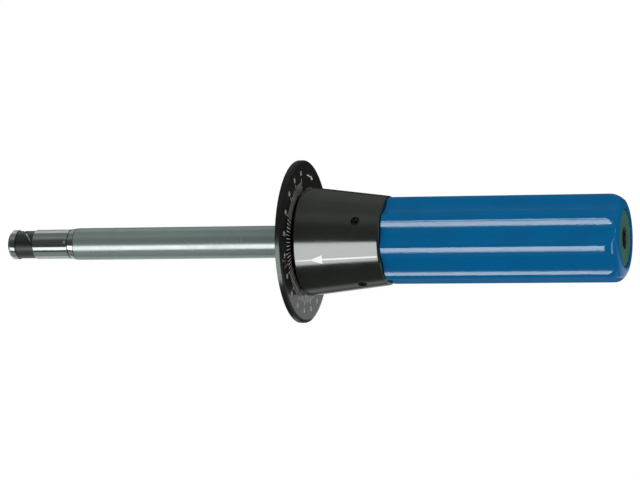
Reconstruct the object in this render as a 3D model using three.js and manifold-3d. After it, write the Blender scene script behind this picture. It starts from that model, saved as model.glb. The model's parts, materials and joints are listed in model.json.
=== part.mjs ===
// A direct-reading torque screwdriver: a hexagonal bit holder on a long shank, a round scale
// disc on the shank, and a fluted grip whose front cone carries the pointer. A torsion spring
// inside the grip joins it to the shank, so the pointer turns over the scale as torque rises.
//
// X is the tool's axis, from the bit holder (-X) to the end of the grip (+X), and +Z is up.
// Angles about the axis are in degrees, from +Y towards +Z. Lengths are in millimetres.

import * as THREE from "three";
import { mergeVertices } from "three/addons/utils/BufferGeometryUtils.js";
import Module from "manifold-3d";

const wasm = await Module();
wasm.setup();

// ------------------------------------------------------------------ clearances
const seatGap = 0.1; // between faces that rest on each other
const fixedFit = 0.15; // radial, round a piece fixed in its hole
const runningFit = 0.2; // radial, round a piece that turns or slides
const cutPast = 1; // how far a cutting shape runs past the surface it cuts

// ------------------------------------------------------------------ facets round the axis
const discFacets = 96;
const gripFacets = 80;
const coneFacets = 72;
const bodyFacets = 48;
const innerFacets = 32; // pieces that are hidden inside
const smallFacets = 16; // pins, screws and their holes
const wireFacets = 6;
const coilSteps = 12; // in one turn of the spring

// ------------------------------------------------------------------ bit holder
const bitAcrossFlats = 6.35;
const bitPlay = 0.1; // across the flats
const bitSocketDepth = 22;
const grooveWall = 0.33; // left outside the socket's corners
const grooveDepth = 0.95;
const grooveLength = 6.6;
const ringLength = 2.7;
const noseLength = 22.1;
const noseChamfer = 0.9;
const spigotLength = 12;
const clipWall = 0.45;
const clipEndPlay = 0.15; // at each side of the groove
const clipSlit = 1; // measured round the clip
const slitFrontAngle = -26;
const slitRearAngle = 102;
const ballRadius = 0.75;
const ballAngle = 270;
const ballReach = 0.55; // past the flat of the socket, into the bit's groove
const bitStopRadius = 0.6;
const bitStopAngle = 90;
const bitStopToShoulder = 1.2;

// ------------------------------------------------------------------ shank and spindle
const shoulderStep = 0.4; // from the nose out to the tube
const tubeLength = 81.7;
const tubeChamferLength = 1.7;
const spindleRadius = 4;
const spindleInTube = 15;
const spindleInPlug = 13;

// ------------------------------------------------------------------ scale disc and its hub
const discRadius = 27;
const discThickness = 1.9;
const discBevelWidth = 2.1;
const discBevelDepth = 0.7;
const hubFlangePlay = 3.65; // radial, inside the cone
const hubFlangeThickness = 1.6;
const hubRadius = 8;
const hubLength = 5.8;
const hubScrewRadius = 1.4;
const hubScrewAngles = [0, 90];

// ------------------------------------------------------------------ pointer cone
const pointerGap = 1.4; // between the disc and the cone
const coneLength = 28;
const coneFlare = 3.43; // growth in radius from the cone's rear to its front
const coneOverhang = 0.2; // radial, past the grip
const coneLip = 2.6; // wall at the open front of the cone
const coneEdge = 0.8;
const coneScrewToRear = 7.9;
const coneScrewRadius = 1.4;
const coneScrewSunk = 0.9; // below the cone's surface
const indexAngle = 119.4;
const coneScrewAngles = [45, 135, 225, 315]; // from the index line

// ------------------------------------------------------------------ grip
const gripLength = 78.6;
const gripRadius = 14.5;
const gripWall = 2.05; // under the flutes
const gripEdge = 0.6;
const endRounding = 4.5;
const endWall = 4.3;
const endOpening = 9.4;
const fluteCount = 8;
const fluteRadius = 9;
const fluteDepth = 1.85;

// ------------------------------------------------------------------ inside the grip
const sleeveWall = 1.4;
const washerThickness = 0.8;
const washerPlay = 1.3; // radial, inside the sleeve
const bushFlange = 1.5;
const frontBushLength = 7.5;
const rearBushLength = 7;
const rearBushPast = 0.5; // past the spindle's end
const rearBushWall = 0.85;
const circlipThickness = 1;
const circlipDepth = 0.4;
const circlipHeight = 1.8; // above the spindle
const circlipOpening = 60; // degrees
const driverPlay = 0.5; // radial, inside the sleeve
const driverCoreWall = 1.45;
const driverStopLength = 3.4;
const driverLength = 11;
const driverGap = 1.15; // behind the circlip
const driverPinRadius = 1;
const driverPinFromRear = 4;
const twistLimit = 108; // degrees, each way
const limitPinRadius = 1.5;
const limitPinPlay = 0.5; // between the pin's tip and the driver's core
const limitPinMargin = 1.5; // degrees left at the limit

// ------------------------------------------------------------------ torsion spring
const wireRadius = 1.1;
const springPlay = 1.1; // radial, inside the sleeve
const springTurns = 8.8;
const springBend = 3;
const legInHole = 5;
const legEndPlay = 0.5;
const springFrontAngle = 200;

// ------------------------------------------------------------------ rear plug
const plugRecess = 0.5;
const plugFlange = 2.6;
const plugHubLength = 17;
const plugBorePast = 0.7; // past the spindle's end
const plugSocket = 6; // across the flats
const plugSocketPlay = 0.2;
const plugSocketDepth = 7;
const sealRadius = 0.55;
const sealSqueeze = 0.05; // gap left round the seal

// ------------------------------------------------------------------ stations along the axis
const grooveEnd = ringLength + grooveLength;
const discFront = noseLength + tubeLength;
const discRear = discFront + discThickness;
const coneFront = discRear + pointerGap;
const coneRear = coneFront + coneLength;
const gripEnd = coneRear + gripLength;
const hubFront = discRear + seatGap;
const hubRear = hubFront + hubLength;
const frontWasher = hubRear + seatGap;
const bushFront = frontWasher + washerThickness + seatGap;
const sleeveFront = bushFront + bushFlange + seatGap;
const bushRear = sleeveFront + frontBushLength;
const rearWasher = bushRear + seatGap;
const circlipFront = rearWasher + washerThickness + seatGap;
const driverFront = circlipFront + circlipThickness + driverGap;
const driverRear = driverFront + driverLength;
const plugFace = gripEnd - plugRecess;
const endShoulder = gripEnd - endWall;
const flangeRear = endShoulder - runningFit;
const flangeFront = flangeRear - plugFlange;
const plugHubFront = flangeFront - plugHubLength;
const sleeveRear = flangeFront - runningFit;
const spindleEnd = plugHubFront + spindleInPlug;
const limitPinStation = driverFront + driverStopLength / 2;

// ------------------------------------------------------------------ radii that follow
const grooveRadius = (bitAcrossFlats + bitPlay) / Math.sqrt(3) + grooveWall;
const noseRadius = grooveRadius + grooveDepth;
const tubeRadius = noseRadius + shoulderStep;
const clipBore = grooveRadius + runningFit;
const spindleBore = spindleRadius + runningFit;
const fixedBore = spindleRadius + fixedFit;
const gripBore = gripRadius - fluteDepth - gripWall;
const sleeveRadius = gripBore - 2 * fixedFit;
const sleeveBore = sleeveRadius - sleeveWall;
const washerRadius = sleeveBore - washerPlay;
const circlipRadius = spindleRadius + circlipHeight;
const driverRadius = sleeveBore - driverPlay;
const driverCore = fixedBore + driverCoreWall;
const limitPinTip = driverCore + limitPinPlay;
const springRadius = sleeveBore - springPlay - wireRadius; // of the wire's centre line
const plugHubRadius = sleeveBore - 1.5 * runningFit;
const plugNoseRadius = endOpening - 1.5 * runningFit;
const rearBushRadius = spindleBore + rearBushWall;
const coneRearRadius = gripRadius + coneOverhang;
const coneFrontRadius = coneRearRadius + coneFlare;
const coneCavity = coneFrontRadius - coneLip;
const hubFlangeRadius = coneCavity - hubFlangePlay;

// ------------------------------------------------------------------ building blocks
const radians = THREE.MathUtils.degToRad;
const xAxis = new THREE.Vector3(1, 0, 0);
const yAxis = new THREE.Vector3(0, 1, 0);
const zAxis = new THREE.Vector3(0, 0, 1);
const turnedToX = new THREE.Matrix4().makeBasis(zAxis, xAxis, yAxis);
const drawnToX = new THREE.Matrix4().makeBasis(yAxis, zAxis, xAxis);

// A geometry as a manifold solid, with its doubled vertices joined and flat slivers left out.
function solid(geometry) {
  const bare = geometry.clone();
  bare.deleteAttribute("normal");
  bare.deleteAttribute("uv");
  const merged = mergeVertices(bare, 1e-5);
  const corners = merged.index.array;
  const kept = [];
  for (let i = 0; i < corners.length; i += 3) {
    const [a, b, c] = corners.slice(i, i + 3);
    if (a !== b && b !== c && c !== a) kept.push(a, b, c);
  }
  return new wasm.Manifold(
    new wasm.Mesh({
      numProp: 3,
      vertProperties: merged.attributes.position.array,
      triVerts: new Uint32Array(kept),
    }),
  );
}

// A solid turned about the X axis. The profile is [x, radius] pairs, its outside from front to rear.
function turned(profile, facets) {
  const points = profile.map(([x, radius]) => new THREE.Vector2(radius, x));
  return solid(new THREE.LatheGeometry(points, facets).applyMatrix4(turnedToX));
}

function rod(front, rear, radius, facets = bodyFacets) {
  const profile = [
    [front, 0],
    [front, radius],
    [rear, radius],
    [rear, 0],
  ];
  return turned(profile, facets);
}

function ring(front, rear, inner, outer, facets = innerFacets) {
  const profile = [
    [front, inner],
    [front, outer],
    [rear, outer],
    [rear, inner],
    [front, inner],
  ];
  return turned(profile, facets);
}

// A hexagonal prism along X with one flat facing +Z.
function hexagon(front, rear, acrossFlats) {
  const radius = acrossFlats / Math.sqrt(3);
  const prism = new THREE.CylinderGeometry(radius, radius, rear - front, 6);
  prism.applyMatrix4(turnedToX).translate((front + rear) / 2, 0, 0);
  return solid(prism);
}

// A round pin that points away from the axis at an angle, from one radius to another.
function radialPin(x, angle, from, to, radius) {
  const pin = new THREE.CylinderGeometry(radius, radius, to - from, smallFacets);
  pin.translate(0, (from + to) / 2, 0).rotateX(radians(angle)).translate(x, 0, 0);
  return solid(pin);
}

// A round pin parallel to the axis.
function axialPin(front, rear, distance, angle, radius) {
  const pin = new THREE.CylinderGeometry(radius, radius, rear - front, smallFacets);
  pin.applyMatrix4(turnedToX).translate((front + rear) / 2, distance, 0).rotateX(radians(angle));
  return solid(pin);
}

// Part of a ring, between two angles, extruded along X.
function sector(front, rear, inner, outer, from, to) {
  const outline = new THREE.Shape();
  outline.absarc(0, 0, outer, radians(from), radians(to), false);
  outline.absarc(0, 0, inner, radians(to), radians(from), true);
  const block = new THREE.ExtrudeGeometry(outline, {
    depth: rear - front,
    bevelEnabled: false,
    curveSegments: smallFacets,
  });
  return solid(block.applyMatrix4(drawnToX).translate(front, 0, 0));
}

const finishes = {
  polished_steel: { color: 0x9aa3a0, roughness: 0.15, metalness: 1 },
  satin_steel: { color: 0x74807c, roughness: 0.4, metalness: 1 },
  spring_steel: { color: 0x2f3533, roughness: 0.45, metalness: 1 },
  dark_steel: { color: 0x3a3d3c, roughness: 0.5, metalness: 1 },
  black_disc: { color: 0x14161a, roughness: 0.2, metalness: 0.3 },
  black_cone: { color: 0x1c1e1d, roughness: 0.25, metalness: 0.3 },
  blue_grip: { color: 0x045a96, roughness: 0.3, metalness: 0.5 },
  green_plug: { color: 0x3f6a4c, roughness: 0.4, metalness: 0.6 },
  aluminium: { color: 0xb8bcbf, roughness: 0.4, metalness: 1 },
  bronze: { color: 0xa9793c, roughness: 0.5, metalness: 1 },
  rubber: { color: 0x151515, roughness: 0.9, metalness: 0 },
};

const tool = new THREE.Group();
tool.position.x = -gripEnd / 2;

function add(name, shape, finish) {
  const { vertProperties, triVerts } = shape.getMesh();
  const geometry = new THREE.BufferGeometry();
  geometry.setAttribute("position", new THREE.BufferAttribute(vertProperties, 3));
  geometry.setIndex(new THREE.BufferAttribute(triVerts, 1));
  const mesh = new THREE.Mesh(geometry, new THREE.MeshStandardMaterial(finishes[finish]));
  mesh.name = name;
  tool.add(mesh);
}

// ------------------------------------------------------------------ bit holder and its clip
// The polished nose: a front ring, a groove for the clip, the neck, and a spigot for the tube.
function bitHolder() {
  const spigotEnd = noseLength + spigotLength;
  const profile = [
    [0, 0],
    [0, noseRadius - noseChamfer],
    [noseChamfer, noseRadius],
    [ringLength, noseRadius],
    [ringLength, grooveRadius],
    [grooveEnd, grooveRadius],
    [grooveEnd, noseRadius],
    [noseLength - seatGap, noseRadius],
    [noseLength - seatGap, spindleRadius],
    [spigotEnd, spindleRadius],
    [spigotEnd, 0],
  ];
  const socket = hexagon(-cutPast, bitSocketDepth, bitAcrossFlats + bitPlay);
  const ballHole = radialPin(ballStation(), ballAngle, 0, noseRadius, ballRadius + fixedFit);
  const stopHole = radialPin(
    bitStopStation(),
    bitStopAngle,
    -noseRadius - cutPast,
    noseRadius + cutPast,
    bitStopRadius + fixedFit,
  );
  return turned(profile, bodyFacets).subtract(socket).subtract(ballHole).subtract(stopHole);
}

function ballStation() {
  return ringLength + grooveLength / 2;
}

function bitStopStation() {
  return noseLength - bitStopToShoulder;
}

// A sprung sleeve round the groove, cut through by one slit that winds back along the nose.
function bitClip() {
  const front = ringLength + clipEndPlay;
  const rear = grooveEnd - clipEndPlay;
  const sleeve = ring(front, rear, clipBore, clipBore + clipWall, bodyFacets);
  const steps = 16;
  const reach = rear - front + 2 * cutPast;
  const blade = new THREE.BoxGeometry(reach, 2 * clipWall + 1, clipSlit, steps, 1, 1);
  blade.translate((front + rear) / 2, clipBore + clipWall / 2, 0);
  const turnPerLength = radians(slitRearAngle - slitFrontAngle) / (rear - front);
  const corners = blade.attributes.position;
  const corner = new THREE.Vector3();
  for (let i = 0; i < corners.count; i += 1) {
    corner.fromBufferAttribute(corners, i);
    const turn = radians(slitFrontAngle) + (corner.x - front) * turnPerLength;
    corner.applyAxisAngle(xAxis, turn);
    corners.setXYZ(i, corner.x, corner.y, corner.z);
  }
  return sleeve.subtract(solid(blade));
}

function bitBall() {
  const centre = (bitAcrossFlats + bitPlay) / 2 - ballReach + ballRadius;
  const ball = new THREE.SphereGeometry(ballRadius, smallFacets, smallFacets / 2);
  ball.translate(0, centre, 0).rotateX(radians(ballAngle)).translate(ballStation(), 0, 0);
  return solid(ball);
}

function bitStopPin() {
  const end = noseRadius - seatGap / 2;
  return radialPin(bitStopStation(), bitStopAngle, -end, end, bitStopRadius);
}

add("bit_holder", bitHolder(), "polished_steel");
add("bit_clip", bitClip(), "spring_steel");
add("bit_ball", bitBall(), "polished_steel");
add("bit_stop_pin", bitStopPin(), "satin_steel");

// ------------------------------------------------------------------ shank, disc and hub
// The satin tube that carries torque from the holder to the spindle, chamfered at its front.
function shaftTube() {
  const rear = discFront - seatGap;
  const profile = [
    [noseLength, fixedBore],
    [noseLength, noseRadius],
    [noseLength + tubeChamferLength, tubeRadius],
    [rear, tubeRadius],
    [rear, fixedBore],
    [noseLength, fixedBore],
  ];
  return turned(profile, bodyFacets);
}

function torqueSpindle() {
  const front = discFront - spindleInTube;
  const groove = ring(
    circlipFront - seatGap,
    circlipFront + circlipThickness + seatGap,
    spindleRadius - circlipDepth,
    spindleRadius + cutPast,
  );
  const pinHole = radialPin(
    driverPinStation(),
    driverPinAngle(),
    -spindleRadius - cutPast,
    spindleRadius + cutPast,
    driverPinRadius + fixedFit,
  );
  return rod(front, spindleEnd, spindleRadius).subtract(groove).subtract(pinHole);
}

// The scale disc: flat in front, with a shallow bevel round the edge of its graduated rear face.
function scaleDisc() {
  const profile = [
    [discFront, fixedBore],
    [discFront, discRadius],
    [discRear - discBevelDepth, discRadius],
    [discRear, discRadius - discBevelWidth],
    [discRear, fixedBore],
    [discFront, fixedBore],
  ];
  return turned(profile, discFacets);
}

// The hub that holds the disc on the spindle, with two grub screws through its barrel.
function discHub() {
  const flangeEnd = hubFront + hubFlangeThickness;
  const profile = [
    [hubFront, fixedBore],
    [hubFront, hubFlangeRadius],
    [flangeEnd, hubFlangeRadius],
    [flangeEnd, hubRadius],
    [hubRear, hubRadius],
    [hubRear, fixedBore],
    [hubFront, fixedBore],
  ];
  let hub = turned(profile, innerFacets);
  for (const angle of hubScrewAngles) {
    const hole = radialPin(
      hubScrewStation(),
      angle,
      spindleRadius,
      hubRadius + cutPast,
      hubScrewRadius + fixedFit,
    );
    hub = hub.subtract(hole);
  }
  return hub;
}

function hubScrewStation() {
  return (hubFront + hubFlangeThickness + hubRear) / 2;
}

function hubScrew(angle) {
  const from = spindleRadius + seatGap;
  return radialPin(hubScrewStation(), angle, from, hubRadius - seatGap, hubScrewRadius);
}

add("shaft_tube", shaftTube(), "satin_steel");
add("torque_spindle", torqueSpindle(), "satin_steel");
add("scale_disc", scaleDisc(), "black_disc");
add("disc_hub", discHub(), "aluminium");
hubScrewAngles.forEach((angle, i) => add(`hub_screw_${i + 1}`, hubScrew(angle), "dark_steel"));

// ------------------------------------------------------------------ spindle hardware
function thrustWasher(front) {
  return ring(front, front + washerThickness, spindleBore, washerRadius);
}

// A C-shaped retaining ring in the spindle's groove.
function shaftCirclip() {
  const rear = circlipFront + circlipThickness;
  const inner = spindleRadius - circlipDepth + seatGap;
  const open = circlipOpening / 2;
  return sector(circlipFront, rear, inner, circlipRadius, open, 360 - open);
}

// Half the angle that the driver's stop lug may fill and still leave the pin its full travel.
function lugHalfAngle() {
  const pinHalfAngle = THREE.MathUtils.radToDeg(Math.asin(limitPinRadius / limitPinTip));
  return 180 - twistLimit - pinHalfAngle - limitPinMargin;
}

// The collar that turns the spring: a lug that meets the limit pin, then a body for the spring's leg.
function springDriver() {
  const stopEnd = driverFront + driverStopLength;
  const lugAngle = limitPinAngle() + 180;
  const freeArc = sector(
    driverFront - cutPast,
    stopEnd,
    driverCore,
    driverRadius + cutPast,
    lugAngle + lugHalfAngle(),
    lugAngle + 360 - lugHalfAngle(),
  );
  const legHole = axialPin(
    driverRear - legInHole - legEndPlay,
    driverRear + cutPast,
    springRadius,
    springFrontAngle,
    wireRadius + fixedFit,
  );
  const pinHole = radialPin(
    driverPinStation(),
    driverPinAngle(),
    -driverRadius - cutPast,
    driverRadius + cutPast,
    driverPinRadius + fixedFit,
  );
  const collar = ring(driverFront, driverRear, fixedBore, driverRadius);
  return collar.subtract(freeArc).subtract(legHole).subtract(pinHole);
}

function driverPinStation() {
  return driverRear - driverPinFromRear;
}

function driverPinAngle() {
  return springFrontAngle + 90;
}

function driverPin() {
  const end = driverRadius - seatGap;
  return radialPin(driverPinStation(), driverPinAngle(), -end, end, driverPinRadius);
}

add("front_washer", thrustWasher(frontWasher), "bronze");
add("rear_washer", thrustWasher(rearWasher), "bronze");
add("shaft_circlip", shaftCirclip(), "spring_steel");
add("spring_driver", springDriver(), "dark_steel");
add("driver_pin", driverPin(), "satin_steel");

// ------------------------------------------------------------------ torsion spring
// The wire's centre line, unrolled from its cylinder: a leg along the axis, a bend, the coils
// at a constant slope, a bend the other way and the second leg. "around" is a length of arc.
function springPath() {
  const span = plugHubFront - driverRear - 2 * runningFit;
  const coilLength = span - 2 * springBend;
  const coilAround = springTurns * 2 * Math.PI * springRadius;
  const slope = Math.atan2(coilLength, coilAround);
  const bendLength = springBend * Math.cos(slope);
  const bendAround = springBend * (1 - Math.sin(slope));
  const bendStart = driverRear + runningFit;
  const coilStart = bendStart + bendLength;
  const rearBend = coilStart + coilLength;
  const totalAround = coilAround + 2 * bendAround;
  const path = [[driverRear - legInHole, 0]];
  const bendSteps = 4;
  for (let i = 0; i <= bendSteps; i += 1) {
    const turn = (i / bendSteps) * (Math.PI / 2 - slope);
    path.push([bendStart + springBend * Math.sin(turn), springBend * (1 - Math.cos(turn))]);
  }
  const steps = Math.round(springTurns * coilSteps);
  for (let i = 1; i < steps; i += 1) {
    const share = i / steps;
    path.push([coilStart + share * coilLength, bendAround + share * coilAround]);
  }
  for (let i = bendSteps; i >= 0; i -= 1) {
    const turn = (i / bendSteps) * (Math.PI / 2 - slope);
    const along = rearBend + bendLength - springBend * Math.sin(turn);
    path.push([along, totalAround - springBend * (1 - Math.cos(turn))]);
  }
  path.push([plugHubFront + legInHole, totalAround]);
  return path;
}

function springRearAngle() {
  const around = springPath().at(-1)[1];
  return springFrontAngle + THREE.MathUtils.radToDeg(around / springRadius);
}

function torsionSpring() {
  const points = springPath().map(([x, around]) => {
    const point = new THREE.Vector3(x, springRadius, 0);
    return point.applyAxisAngle(xAxis, radians(springFrontAngle) + around / springRadius);
  });
  const centreLine = new THREE.CatmullRomCurve3(points, false, "centripetal");
  centreLine.arcLengthDivisions = points.length * 8;
  const section = new THREE.Shape();
  section.absarc(0, 0, wireRadius, 0, 2 * Math.PI);
  const wire = new THREE.ExtrudeGeometry(section, {
    extrudePath: centreLine,
    steps: points.length,
    curveSegments: wireFacets / 2,
    bevelEnabled: false,
  });
  return solid(wire);
}

add("torsion_spring", torsionSpring(), "spring_steel");

// ------------------------------------------------------------------ sleeve, bushes and limit pin
function limitPinAngle() {
  return indexAngle + 180;
}

// The steel tube inside the grip, which carries the cone, the front bush and the limit pin.
function innerSleeve() {
  const pinHole = radialPin(
    limitPinStation,
    limitPinAngle(),
    sleeveBore - cutPast,
    sleeveRadius + cutPast,
    limitPinRadius + fixedFit,
  );
  return ring(sleeveFront, sleeveRear, sleeveBore, sleeveRadius).subtract(pinHole);
}

function limitPin() {
  const end = sleeveRadius - seatGap;
  return radialPin(limitPinStation, limitPinAngle(), limitPinTip, end, limitPinRadius);
}

// A flanged bush pressed into the front of the sleeve.
function frontBush() {
  const flangeEnd = bushFront + bushFlange;
  const body = sleeveBore - fixedFit;
  const profile = [
    [bushFront, spindleBore],
    [bushFront, sleeveRadius],
    [flangeEnd, sleeveRadius],
    [flangeEnd, body],
    [bushRear, body],
    [bushRear, spindleBore],
    [bushFront, spindleBore],
  ];
  return turned(profile, innerFacets);
}

add("inner_sleeve", innerSleeve(), "satin_steel");
add("limit_pin", limitPin(), "dark_steel");
add("front_bush", frontBush(), "bronze");

// ------------------------------------------------------------------ pointer cone
function coneRadiusAt(x) {
  const share = (x - coneFront) / coneLength;
  return THREE.MathUtils.lerp(coneFrontRadius, coneRearRadius, share);
}

function coneScrewStation() {
  return coneRear - coneScrewToRear;
}

// The black cone: open at the front over the disc's hub, bored to fit the sleeve behind it.
function pointerCone() {
  const cavityEnd = bushFront;
  const bore = sleeveRadius + fixedFit;
  const profile = [
    [coneFront, coneCavity],
    [coneFront, coneFrontRadius - coneEdge / 2],
    [coneFront + coneEdge / 2, coneRadiusAt(coneFront + coneEdge / 2)],
    [coneRear - coneEdge, coneRadiusAt(coneRear - coneEdge)],
    [coneRear - coneEdge / 3, coneRearRadius - coneEdge / 3],
    [coneRear, coneRearRadius - coneEdge],
    [coneRear, bore],
    [cavityEnd, bore],
    [cavityEnd, coneCavity],
    [coneFront, coneCavity],
  ];
  let cone = turned(profile, coneFacets);
  for (const angle of coneScrewAngles) {
    const hole = radialPin(
      coneScrewStation(),
      indexAngle + angle,
      sleeveRadius,
      coneFrontRadius + cutPast,
      coneScrewRadius + fixedFit,
    );
    cone = cone.subtract(hole);
  }
  return cone;
}

function coneScrew(angle) {
  const x = coneScrewStation();
  const end = coneRadiusAt(x) - coneScrewSunk;
  return radialPin(x, indexAngle + angle, sleeveRadius + seatGap, end, coneScrewRadius);
}

add("pointer_cone", pointerCone(), "black_cone");
coneScrewAngles.forEach((angle, i) => add(`cone_screw_${i + 1}`, coneScrew(angle), "dark_steel"));

// ------------------------------------------------------------------ grip
// The grip's outside before its flutes are cut, with a rounded rear end.
function gripBlank() {
  const roundingStart = gripEnd - endRounding;
  const gripFront = coneRear + 2 * seatGap;
  const profile = [
    [gripFront, gripBore],
    [gripFront, gripRadius - gripEdge],
    [gripFront + gripEdge, gripRadius],
  ];
  const steps = 6;
  for (let i = 0; i <= steps; i += 1) {
    const turn = (i / steps) * (Math.PI / 2);
    const inset = endRounding * (1 - Math.cos(turn));
    profile.push([roundingStart + endRounding * Math.sin(turn), gripRadius - inset]);
  }
  profile.push([gripEnd, endOpening]);
  profile.push([endShoulder, endOpening]);
  profile.push([endShoulder, gripBore]);
  profile.push([gripFront, gripBore]);
  return turned(profile, gripFacets);
}

// Straight round-bottomed flutes, the first at +Y, that run out through the rounded end.
function handleGrip() {
  const axisDistance = gripRadius - fluteDepth + fluteRadius;
  let grip = gripBlank();
  for (let i = 0; i < fluteCount; i += 1) {
    const angle = (360 / fluteCount) * i;
    const length = gripEnd - coneRear + 2 * cutPast;
    const cutter = new THREE.CylinderGeometry(fluteRadius, fluteRadius, length, bodyFacets);
    cutter.applyMatrix4(turnedToX);
    cutter.translate((coneRear + gripEnd) / 2, axisDistance, 0).rotateX(radians(angle));
    grip = grip.subtract(solid(cutter));
  }
  return grip;
}

add("handle_grip", handleGrip(), "blue_grip");

// ------------------------------------------------------------------ rear plug
// The plug that anchors the spring: a nose in the grip's end, a flange inside it, and a long hub
// bored for the rear bush. A hexagonal socket in its face turns it to set the pointer to zero.
function rearPlug() {
  const sealStation = (endShoulder + plugFace) / 2;
  const sealGroove = sealRadius + 2 * sealSqueeze;
  const boreEnd = spindleEnd + plugBorePast;
  const bore = rearBushRadius + fixedFit;
  const profile = [
    [plugHubFront, bore],
    [plugHubFront, plugHubRadius],
    [flangeFront, plugHubRadius],
    [flangeFront, gripBore - 1.5 * runningFit],
    [flangeRear, gripBore - 1.5 * runningFit],
    [flangeRear, plugNoseRadius],
    [sealStation - sealGroove, plugNoseRadius],
    [sealStation - sealGroove, sealDistance() - sealGroove],
    [sealStation + sealGroove, sealDistance() - sealGroove],
    [sealStation + sealGroove, plugNoseRadius],
    [plugFace, plugNoseRadius],
    [plugFace, 0],
    [boreEnd, 0],
    [boreEnd, bore],
    [plugHubFront, bore],
  ];
  const socket = hexagon(plugFace - plugSocketDepth, plugFace + cutPast, plugSocket + plugSocketPlay);
  const legHole = axialPin(
    plugHubFront - cutPast,
    plugHubFront + legInHole + legEndPlay,
    springRadius,
    springRearAngle(),
    wireRadius + fixedFit,
  );
  return turned(openAtAxis(profile), bodyFacets).subtract(socket).subtract(legHole);
}

// A bored profile starts and ends on the axis, so the loop is entered where it meets the axis.
function openAtAxis(profile) {
  const loop = profile.slice(0, -1);
  const start = loop.findLastIndex(([, radius]) => radius === 0);
  return [...loop.slice(start), ...loop.slice(0, start)];
}

function sealDistance() {
  return endOpening - sealRadius - sealSqueeze;
}

function plugSeal() {
  const station = (endShoulder + plugFace) / 2;
  const profile = [];
  const steps = 8;
  for (let i = 0; i <= steps; i += 1) {
    const turn = (i / steps) * 2 * Math.PI;
    profile.push([station - sealRadius * Math.cos(turn), sealDistance() + sealRadius * Math.sin(turn)]);
  }
  return turned(profile, innerFacets);
}

function rearBush() {
  const rear = spindleEnd + rearBushPast;
  return ring(rear - rearBushLength, rear, spindleBore, rearBushRadius);
}

add("rear_plug", rearPlug(), "green_plug");
add("plug_seal", plugSeal(), "rubber");
add("rear_bush", rearBush(), "bronze");

export default tool;
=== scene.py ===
# %% [markdown]
# # A direct-reading torque screwdriver
#
# The tool has a polished bit holder on a satin shank, a black dial on the shank, and a blue
# fluted grip whose black cone carries the pointer. Its working parts were built as solids in
# millimetres. Here they are the frame: they give every place and size, and the pieces that
# show are modelled again with the rounded edges, marks and finishes of the real tool.

# %% Load the frame
import json
import math

import bpy
from mathutils import Matrix, Vector


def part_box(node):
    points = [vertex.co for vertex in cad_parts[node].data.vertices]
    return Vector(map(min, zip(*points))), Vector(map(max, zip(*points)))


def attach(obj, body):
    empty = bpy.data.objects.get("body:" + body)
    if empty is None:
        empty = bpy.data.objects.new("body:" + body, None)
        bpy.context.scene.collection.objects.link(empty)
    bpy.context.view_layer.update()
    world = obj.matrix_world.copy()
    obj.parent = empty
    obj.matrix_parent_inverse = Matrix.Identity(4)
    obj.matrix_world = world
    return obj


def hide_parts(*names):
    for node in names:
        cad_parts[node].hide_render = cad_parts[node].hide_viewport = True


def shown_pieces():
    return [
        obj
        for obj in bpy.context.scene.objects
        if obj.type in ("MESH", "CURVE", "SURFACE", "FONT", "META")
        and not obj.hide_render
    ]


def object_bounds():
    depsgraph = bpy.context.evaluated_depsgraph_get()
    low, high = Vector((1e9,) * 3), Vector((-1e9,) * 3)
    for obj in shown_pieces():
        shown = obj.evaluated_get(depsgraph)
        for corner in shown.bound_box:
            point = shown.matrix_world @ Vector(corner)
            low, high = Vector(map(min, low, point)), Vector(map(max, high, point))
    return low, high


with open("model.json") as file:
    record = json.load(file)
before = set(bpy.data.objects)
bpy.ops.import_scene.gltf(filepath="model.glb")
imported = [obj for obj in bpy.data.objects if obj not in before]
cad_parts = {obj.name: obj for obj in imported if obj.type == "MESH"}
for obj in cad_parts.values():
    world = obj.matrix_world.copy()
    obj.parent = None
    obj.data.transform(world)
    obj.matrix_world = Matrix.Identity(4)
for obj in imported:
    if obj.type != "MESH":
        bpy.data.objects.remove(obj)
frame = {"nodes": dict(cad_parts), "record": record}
cad_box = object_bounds()
print("nodes:", len(frame["nodes"]))

# %% [markdown]
# ## Measuring along the axis
#
# The tool lies along X, with the bit holder towards -X. A maker reads such a tool from its
# tip, so every station below is in millimetres from the front face of the bit holder, and one
# function turns it into the metres of the scene.

# %% Stations
MM = 0.001
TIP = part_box("bit_holder")[0].x


def along(station):
    """The X coordinate, in metres, of a station in millimetres from the tip."""
    return TIP + station * MM


def station_of(node, end):
    """The front (0) or rear (1) of a CAD node, in millimetres from the tip."""
    return (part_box(node)[end].x - TIP) / MM


DISC_FRONT, DISC_REAR = station_of("scale_disc", 0), station_of("scale_disc", 1)
CONE_FRONT, CONE_REAR = station_of("pointer_cone", 0), station_of("pointer_cone", 1)
GRIP_FRONT, GRIP_REAR = station_of("handle_grip", 0), station_of("handle_grip", 1)
print(f"disc {DISC_FRONT:.1f} to {DISC_REAR:.1f}, cone {CONE_FRONT:.1f} to {CONE_REAR:.1f} mm")
print(f"grip {GRIP_FRONT:.1f} to {GRIP_REAR:.1f} mm")

# %% [markdown]
# ## Turning on a lathe
#
# Nearly every piece of this tool was turned. In Blender the same is done with one ring of
# edges: it is extruded along the axis to the next station and scaled to the radius there.
# Corners are first rounded in the profile, because a real edge is never quite sharp and the
# light catches on it.


# %% Profile helpers
def only(*objects):
    """Selects these objects and nothing else."""
    bpy.ops.object.select_all(action="DESELECT")
    for item in objects:
        item.select_set(True)
    bpy.context.view_layer.objects.active = objects[0]


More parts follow.
